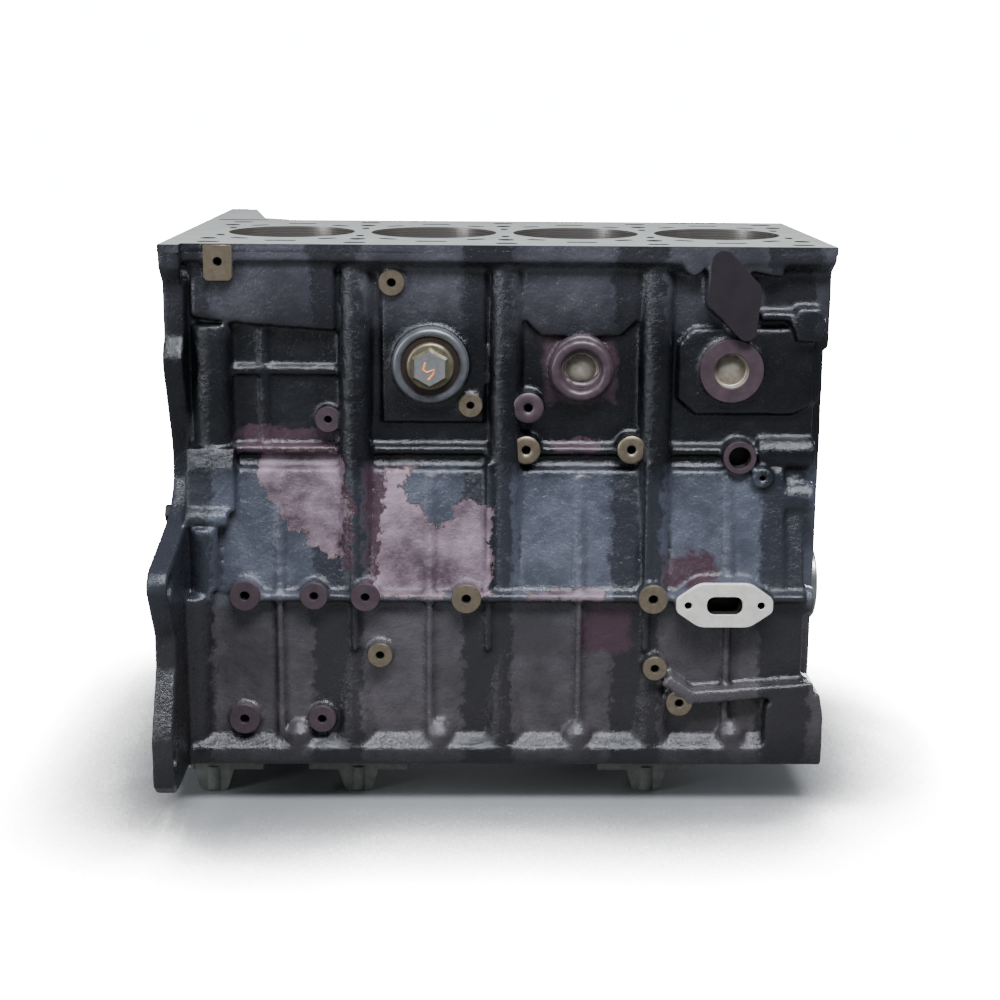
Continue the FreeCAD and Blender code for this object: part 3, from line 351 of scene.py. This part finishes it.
# Honing marks: fine rings round each cylinder, one every 1.5 mm, blurred by noise.
rings = add(tree, "ShaderNodeTexWave", {"Vector": place, "Scale": 180.0, "Distortion": 3.0, "Detail": 2.0},
            bands_direction="Z")
tone = add(tree, "ShaderNodeMix", {
    "Factor": rings.outputs["Fac"], 6: linear("8B8681"), 7: linear("A39E97")}, data_type="RGBA")
tree.links.new(tone.outputs[2], surface.inputs["Base Color"])
surface.inputs["Metallic"].default_value = 0.9
surface.inputs["Roughness"].default_value = 0.3

slab = merged("engine_block")
cut(slab, (0, 0, deck_cut), (0, 0, -1))
for face in slab.faces:
    middle = face.calc_center_median()
    on_bore = any(abs(math.hypot(middle.x - x, middle.y) - bore_r) < 0.6 * mm for x in bore_x)
    face.material_index = 0 if middle.z > -0.1 * mm else 2 if on_bore and abs(face.normal.z) < 0.1 else 1
    face.smooth = face.material_index == 2
top = finished("machined_deck", slab, milled, painted_iron, honed)
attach(top, "block")
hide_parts("engine_block")

walls = merged("engine_block")
cut(walls, (0, 0, deck_cut), (0, 0, 1))
others = []
for face in walls.faces:
    middle = face.calc_center_median()
    near_axis = any(abs(math.hypot(middle.x - x, middle.y) - bore_r) < 0.6 * mm for x in bore_x)
    if not (near_axis and abs(face.normal.z) < 0.1 and middle.z > -0.156):
        others.append(face)
    face.smooth = True
bmesh.ops.delete(walls, geom=others, context="FACES")
bores = finished("cylinder_walls", walls, honed)
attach(bores, "block")
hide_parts("engine_block")

# ---------------------------------------------------------------- machined faces of the near side
# Each round boss is spot-faced and drilled for a thread. Most faces are bare iron; some were
# painted over with the block. The filter flange, the corner pad and the plug seats are faced too.
bare, tree, surface, place = blank("bare_faced_iron")
scuff = add(tree, "ShaderNodeTexNoise", {"Vector": place, "Scale": 300.0, "Detail": 5.0, "Roughness": 0.7})
tone = add(tree, "ShaderNodeMix", {
    "Factor": scuff.outputs["Fac"], 6: linear("5A5042"), 7: linear("978B76")}, data_type="RGBA")
tree.links.new(tone.outputs[2], surface.inputs["Base Color"])
surface.inputs["Metallic"].default_value = 0.8
surface.inputs["Roughness"].default_value = 0.38

bright, tree, surface, place = blank("bright_faced_iron")
scuff = add(tree, "ShaderNodeTexNoise", {"Vector": place, "Scale": 200.0, "Detail": 6.0, "Roughness": 0.75})
tone = add(tree, "ShaderNodeMix", {
    "Factor": scuff.outputs["Fac"], 6: linear("A8A498"), 7: linear("FBF8EE")}, data_type="RGBA")
tree.links.new(tone.outputs[2], surface.inputs["Base Color"])
surface.inputs["Metallic"].default_value = 0.35
surface.inputs["Roughness"].default_value = 0.45

plum, tree, surface, place = blank("plum_primer")
mottle = add(tree, "ShaderNodeTexNoise", {"Vector": place, "Scale": 140.0, "Detail": 5.0, "Roughness": 0.6})
tone = add(tree, "ShaderNodeMix", {
    "Factor": mottle.outputs["Fac"], 6: linear("1E161B"), 7: linear("4A3A40")}, data_type="RGBA")
tree.links.new(tone.outputs[2], surface.inputs["Base Color"])
surface.inputs["Roughness"].default_value = 0.42

ring_iron, tree, surface, place = blank("worn_plug_ring")
mottle = add(tree, "ShaderNodeTexNoise", {"Vector": place, "Scale": 180.0, "Detail": 5.0, "Roughness": 0.6})
tone = add(tree, "ShaderNodeMix", {
    "Factor": mottle.outputs["Fac"], 6: linear("3C3E42"), 7: linear("77787C")}, data_type="RGBA")
tree.links.new(tone.outputs[2], surface.inputs["Base Color"])
surface.inputs["Metallic"].default_value = 0.6
surface.inputs["Roughness"].default_value = 0.4

form = merged("engine_block")
form.faces.index_update()
flats = {f for f in form.faces if f.normal.y < -0.9999 and f.calc_center_median().y < -74 * mm}


def island(seed):
    """The faces of the same flat that join up with the given one, taken off the waiting list."""
    found, open_faces = [seed], [seed]
    flats.discard(seed)
    while open_faces:
        for edge in open_faces.pop().edges:
            for face in edge.link_faces:
                if face in flats:
                    flats.discard(face)
                    found.append(face)
                    open_faces.append(face)
    return found


def rim_from(vert):
    """The open edges that run on from a vertex, all the way round."""
    found, open_verts = [], [vert]
    while open_verts:
        for edge in open_verts.pop().link_edges:
            if edge.is_boundary and edge not in found:
                found.append(edge)
                open_verts += list(edge.verts)
    return found


def faced(name, faces, skirt, hole_depth, *finishes):
    """A machined face lifted off the casting, with a chamfer on its edge and on each of its holes."""
    keep = {f.index for f in faces}
    bm = form.copy()
    bm.faces.ensure_lookup_table()
    bmesh.ops.delete(bm, geom=[f for f in bm.faces if f.index not in keep], context="FACES")
    bmesh.ops.translate(bm, verts=bm.verts, vec=(0, -0.3 * mm, 0))
    corner = min(bm.verts, key=lambda v: v.co.x)
    waiting = [e for e in bm.edges if e.is_boundary]
    while waiting:
        edges = rim_from(waiting[0].verts[0])
        waiting = [e for e in waiting if e not in edges]
        ring = {v for e in edges for v in e.verts}
        middle = sum((v.co for v in ring), Vector()) / len(ring)
        steps = ((0.5 * mm, 0.4 * mm, 0), (skirt, 0, 0))
        if corner not in ring:
            steps = ((0.8 * mm, -0.5 * mm, 0), (hole_depth, 0, len(finishes) - 1))
        for back, grow, finish in steps:
            grown = bmesh.ops.extrude_edge_only(bm, edges=edges)["geom"]
            for g in grown:
                if isinstance(g, bmesh.types.BMVert):
                    out = Vector((g.co.x - middle.x, 0, g.co.z - middle.z)).normalized()
                    g.co += out * grow + Vector((0, back, 0))
                elif isinstance(g, bmesh.types.BMFace):
                    g.material_index, g.smooth = finish, True
            edges = [g for g in grown if isinstance(g, bmesh.types.BMEdge) and g.is_boundary]
        if corner not in ring:
            bmesh.ops.edgeloop_fill(bm, edges=edges, mat_nr=len(finishes) - 1)
    bmesh.ops.recalc_face_normals(bm, faces=bm.faces)
    if min(bm.faces, key=lambda f: f.calc_center_median().y).normal.y > 0:
        bmesh.ops.reverse_faces(bm, faces=bm.faces)
    piece = finished(name, bm, *finishes)
    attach(piece, "block")
    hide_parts("engine_block")
    return piece


thread, tree, surface, place = blank("tapped_thread")
# One thread ridge to each 1.25 mm of depth.
turns = add(tree, "ShaderNodeTexWave", {"Vector": place, "Scale": 250.0}, bands_direction="Y")
ridge = add(tree, "ShaderNodeBump", {"Height": turns.outputs["Fac"], "Strength": 1.0, "Distance": 0.0006})
tree.links.new(ridge.outputs["Normal"], surface.inputs["Normal"])
surface.inputs["Base Color"].default_value = linear("1A1714")
surface.inputs["Metallic"].default_value = 0.7
surface.inputs["Roughness"].default_value = 0.4

bore_first, bore_second, bore_third, bore_last = bore_x
painted_over = [(bore_first + 30 * mm, -110 * mm), (bore_third - 33 * mm, -101 * mm)]
painted_over += [(bore_first + x * mm, z * mm) for x, z in (
    (-21, -217), (22, -217), (54, -218), (-23, -299), (26, -299))]
painted_over += [(bore_last + 6 * mm, -132 * mm), (bore_last + 21 * mm, -145 * mm)]
count = 0
for seed in sorted(flats, key=lambda f: f.index):
    if seed not in flats:
        continue
    faces = island(seed)
    points = [v.co for f in faces for v in f.verts]
    lo, hi = (Vector([pick(p[i] for p in points) for i in range(3)]) for pick in (min, max))
    wide, high = (hi.x - lo.x) / mm, (hi.z - lo.z) / mm
    middle = (lo + hi) / 2
    if 12 < min(wide, high) and 14 < max(wide, high) < 24 and 70 < len(faces) < 80 and middle.z > -140 * mm:
        continue
    if 12 < min(wide, high) and 14 < max(wide, high) < 24 and len(faces) > 70:
        covered = any(math.hypot(middle.x - x, middle.z - z) < 5 * mm for x, z in painted_over)
        count += 1
        faced("boss_face_%02d" % count, faces, 1.5 * mm, 9 * mm, plum if covered else bare, thread)
    elif abs(wide - 59.5) < 1.5:
        faced("filter_flange_face", faces, 3.0 * mm, 12 * mm, bright, thread)
    elif abs(wide - 17) < 1 and abs(high - 21.5) < 1:
        faced("corner_pad_face", faces, 4.0 * mm, 9 * mm, bare, thread)
    elif abs(wide - high) < 1.0 and 45 < wide < 49:
        faced("hex_plug_seat", faces, 3.0 * mm, 3 * mm, ring_iron, thread)
    elif abs(wide - high) < 1.0 and 38 < wide < 41:
        number = 1 if middle.x < bore_last - 20 * mm else 2
        faced("core_plug_seat_%d" % number, faces, 3.0 * mm, 9 * mm, plum)
form.free()



def turned(bm, x, z, outline):
    """A shape of revolution facing the near side: its outline is pairs of radius and Y, in millimetres."""
    points = [bm.verts.new((x + radius * mm, y * mm, z)) for radius, y in outline]
    line = [bm.edges.new(pair) for pair in zip(points, points[1:])]
    bmesh.ops.spin(bm, geom=points + line, cent=(x, 0, z), axis=(0, 1, 0), angle=2 * math.pi, steps=72,
                   use_merge=True)
    bmesh.ops.remove_doubles(bm, verts=bm.verts, dist=1e-6)
    bmesh.ops.recalc_face_normals(bm, faces=bm.faces)
    for face in bm.faces:
        face.smooth = True


# Three bosses stand against the columns, so each is a whole short post in front of one.
for number, (x, z, radius, finish) in enumerate((
        (-34, -128, 9.0, bare), (-33, -101, 9.7, plum), (32, -127.5, 9.0, bare))):
    bm = bmesh.new()
    turned(bm, bore_third + x * mm, z * mm, (
        (radius, -76), (radius, -87.6), (radius - 0.4, -88.2),
        (3.2, -88.2), (2.7, -87.4), (2.7, -79), (0, -79)))
    for face in bm.faces:
        middle = face.calc_center_median()
        deep = math.hypot(middle.x - bore_third - x * mm, middle.z - z * mm) < 2.75 * mm
        face.material_index = 1 if deep else 2 if middle.y > -87.5 * mm else 0
    post = finished("column_boss_%d" % (number + 1), bm, finish, thread, painted_iron)
    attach(post, "block")
    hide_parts("engine_block")

# Rolled rims: a steel-grey one round the hexagon plug, and a rough lobed one in primer round the
# third cylinder's core plug.
plug_z = -78 * mm
hex_z = plug_z + 3 * mm
bm = bmesh.new()
turned(bm, bore_second, hex_z, ((23.7, -83), (23.6, -86.4), (22.6, -87.8), (20.9, -88.2), (19.2, -87.6),
                                (18.1, -86), (17.8, -83), (23.7, -83)))
rim = finished("hex_plug_rim", bm, ring_iron)
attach(rim, "block")
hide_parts("engine_block")

bm = bmesh.new()
turned(bm, bore_third, plug_z, ((19.6, -81), (19.3, -84.6), (17.6, -85.8), (15.2, -85.9), (13.2, -84.8),
                                (12.3, -82), (19.6, -81)))
turned(bm, bore_third, plug_z + 4.5 * mm, (
    (18.2, -77), (17.9, -81.6), (16.2, -83), (12.5, -83), (12.5, -77), (18.2, -77)))
for v in bm.verts:
    v.co += v.normal * noise.noise(v.co * 320.0) * 0.5 * mm
rim = finished("core_plug_rim", bm, plum)
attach(rim, "block")
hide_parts("engine_block")

# The blanked pad beside the front corner is a flat kite with round corners, standing a little
# proud of the deck flange.
bm = bmesh.new()
pad_face = -88.0 * mm
for x, z, radius in ((-8.4, -9.2, 6.8), (8.9, -26.9, 6.8), (7.4, -51.7, 6.4), (-11.2, -32.6, 5.6)):
    bmesh.ops.create_cone(
        bm, cap_ends=True, segments=32, radius1=radius * mm, radius2=radius * mm, depth=12 * mm,
        matrix=Matrix.Translation((bore_last + x * mm, pad_face + 6 * mm, z * mm))
        @ Matrix.Rotation(math.pi / 2, 4, "X"))
bmesh.ops.delete(bm, geom=bm.edges[:] + bm.faces[:], context="EDGES_FACES")
hull = bmesh.ops.convex_hull(bm, input=bm.verts)
inner = [g for g in hull["geom_interior"] if isinstance(g, bmesh.types.BMVert)]
bmesh.ops.delete(bm, geom=inner, context="VERTS")
bmesh.ops.dissolve_limit(bm, angle_limit=0.01, verts=bm.verts, edges=bm.edges)
dark_plum, tree, surface, place = blank("dark_plum_primer")
mottle = add(tree, "ShaderNodeTexNoise", {"Vector": place, "Scale": 140.0, "Detail": 5.0, "Roughness": 0.6})
tone = add(tree, "ShaderNodeMix", {
    "Factor": mottle.outputs["Fac"], 6: linear("0F0A0E"), 7: linear("221920")}, data_type="RGBA")
tree.links.new(tone.outputs[2], surface.inputs["Base Color"])
surface.inputs["Roughness"].default_value = 0.45
pad = finished("blanked_pad", bm, dark_plum)
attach(pad, "block")
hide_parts("engine_block")

# ---------------------------------------------------------------- caps and their bolts
# Each bearing cap is a bare grey-iron casting that sits in a register of the block and is held up
# in it by two hexagon bolts of blackened steel.
cap_iron, tree, surface, place = blank("bare_cast_iron")
mottle = add(tree, "ShaderNodeTexNoise", {"Vector": place, "Scale": 160.0, "Detail": 5.0, "Roughness": 0.65})
tone = add(tree, "ShaderNodeMix", {
    "Factor": mottle.outputs["Fac"], 6: linear("3E403A"), 7: linear("7D8078")}, data_type="RGBA")
tree.links.new(tone.outputs[2], surface.inputs["Base Color"])
bumps = add(tree, "ShaderNodeBump", {"Height": mottle.outputs["Fac"], "Strength": 0.5, "Distance": 0.0006})
tree.links.new(bumps.outputs["Normal"], surface.inputs["Normal"])
surface.inputs["Metallic"].default_value = 0.4
surface.inputs["Roughness"].default_value = 0.55


def plain(name, dark, light, metallic, roughness, scale=120.0):
    """A finish that varies a little between two tones; the scale is per metre."""
    made, tree, surface, place = blank(name)
    mottle = add(tree, "ShaderNodeTexNoise", {"Vector": place, "Scale": scale, "Detail": 4.0})
    tone = add(tree, "ShaderNodeMix", {
        "Factor": mottle.outputs["Fac"], 6: linear(dark), 7: linear(light)}, data_type="RGBA")
    tree.links.new(tone.outputs[2], surface.inputs["Base Color"])
    surface.inputs["Metallic"].default_value = metallic
    surface.inputs["Roughness"].default_value = roughness
    return made


def dress(node, finish):
    """Gives a carried-over solid its finish."""
    mesh = bpy.data.objects[node].data
    mesh.materials.clear()
    mesh.materials.append(finish)


for number in range(1, 6):
    dress("main_bearing_cap_%d" % number, cap_iron)
dress("cap_bolts", plain("blackened_steel", "1E1D1C", "3A3836", 0.8, 0.4))

# ---------------------------------------------------------------- bearings
# Plain bearing halves and thrust washers: steel backs lined with a grey tin alloy, pressed into
# their housings by the caps.
lining = plain("bearing_lining", "8C8B86", "ABAAA4", 0.8, 0.35)
for node in ("bearing_shells_upper", "bearing_shells_lower", "thrust_washer_rear", "thrust_washer_front"):
    dress(node, lining)

# ---------------------------------------------------------------- crankshaft
# One steel shaft with ground journals, turning in the five main bearings. Only its nose shows from
# outside. The small dowel pin under the nose is pressed into the foremost cap.
dress("crankshaft", plain("ground_steel", "86867F", "B9B9B2", 0.9, 0.3, 70.0))
dress("front_dowel_pin", plain("pin_steel", "6E6B66", "9B978F", 0.9, 0.35))

# ---------------------------------------------------------------- rear seal
# The seal carrier is a light-alloy die casting, screwed to the rear face by six small bolts, with a
# rubber ring pressed into it.
dress("rear_seal_carrier", plain("cast_alloy", "8B8C89", "B4B5B1", 0.6, 0.5))
dress("carrier_bolts", bpy.data.materials["blackened_steel"])
dress("rear_oil_seal", plain("brown_rubber", "20130E", "33211A", 0.0, 0.5))

# ---------------------------------------------------------------- plugs
# Core plugs are pressed-steel cups driven into their holes. The hexagon plug has a worn steel face
# on a dull brass collar, and is screwed down over a dirty copper ring.
cup_steel = plain("worn_plug_steel", "6A645B", "B5AC9D", 0.6, 0.45, 260.0)
dress("core_plugs_far", cup_steel)
dress("hex_plug_washer", plain("dirty_copper", "1C1612", "3A2B22", 0.5, 0.5))
bm = bmesh.new()
for x in (bore_third, bore_last):
    turned(bm, x, plug_z, (
        (12.2, -80), (12.0, -81.6), (11.4, -82), (10.9, -81.4), (10.6, -76.6), (9.7, -75.6), (8.8, -76.4),
        (4.4, -77.6), (0, -78)))
cups = finished("core_plug_cups", bm, cup_steel)
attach(cups, "block")
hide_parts("core_plugs_near")

collar_brass = plain("dull_brass", "3E3A2E", "8A826C", 0.7, 0.4, 200.0)
bm = bmesh.new()
turned(bm, bore_second, hex_z, ((14.9, -82), (14.8, -88.2), (14.0, -89.2), (12.6, -89.4), (0, -89.4)))
collar_face, head_high, across = -88.6 * mm, 8.5 * mm, 22 * mm
corner_r = across / math.sqrt(3)
bmesh.ops.create_cone(
    bm, cap_ends=True, segments=6, radius1=corner_r, radius2=corner_r, depth=head_high,
    matrix=Matrix.Translation((bore_second, collar_face - head_high / 2, hex_z))
    @ Matrix.Rotation(math.pi / 2, 4, "X"))
front = min(bm.faces, key=lambda f: f.calc_center_median().y)
bmesh.ops.bevel(
    bm, geom=list(front.edges), offset=1.6 * mm, affect="EDGES", segments=1, profile=0.5, material=-1)
front = min(bm.faces, key=lambda f: f.calc_center_median().y)
front.material_index = 1
head_steel = plain("worn_steel_face", "5F6064", "93918F", 0.6, 0.42, 240.0)
plug = finished("hex_plug_head", bm, collar_brass, head_steel)
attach(plug, "block")
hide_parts("hex_plug")

# A fitter's stroke of orange paint on the plug's head.
stroke_data = bpy.data.curves.new("paint_stroke", "CURVE")
stroke_data.dimensions = "3D"
stroke_data.bevel_depth, stroke_data.bevel_resolution, stroke_data.use_fill_caps = 1.0 * mm, 3, True
line = stroke_data.splines.new("POLY")
path = ((-2.6, 4.2), (-4.2, -0.6), (-1.6, -2.4), (2.4, -0.4), (2.0, -3.6), (-1.0, -7.0))
line.points.add(len(path) - 1)
for point, (x, z) in zip(line.points, path):
    point.co = (bore_second + x * mm, collar_face - head_high + 0.6 * mm, hex_z + z * mm, 1)
stroke = bpy.data.objects.new("paint_stroke", stroke_data)
bpy.context.scene.collection.objects.link(stroke)
stroke_data.materials.append(plain("orange_paint", "B5622F", "E39A62", 0.0, 0.5, 300.0))
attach(stroke, "block")
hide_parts("hex_plug")

low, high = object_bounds()
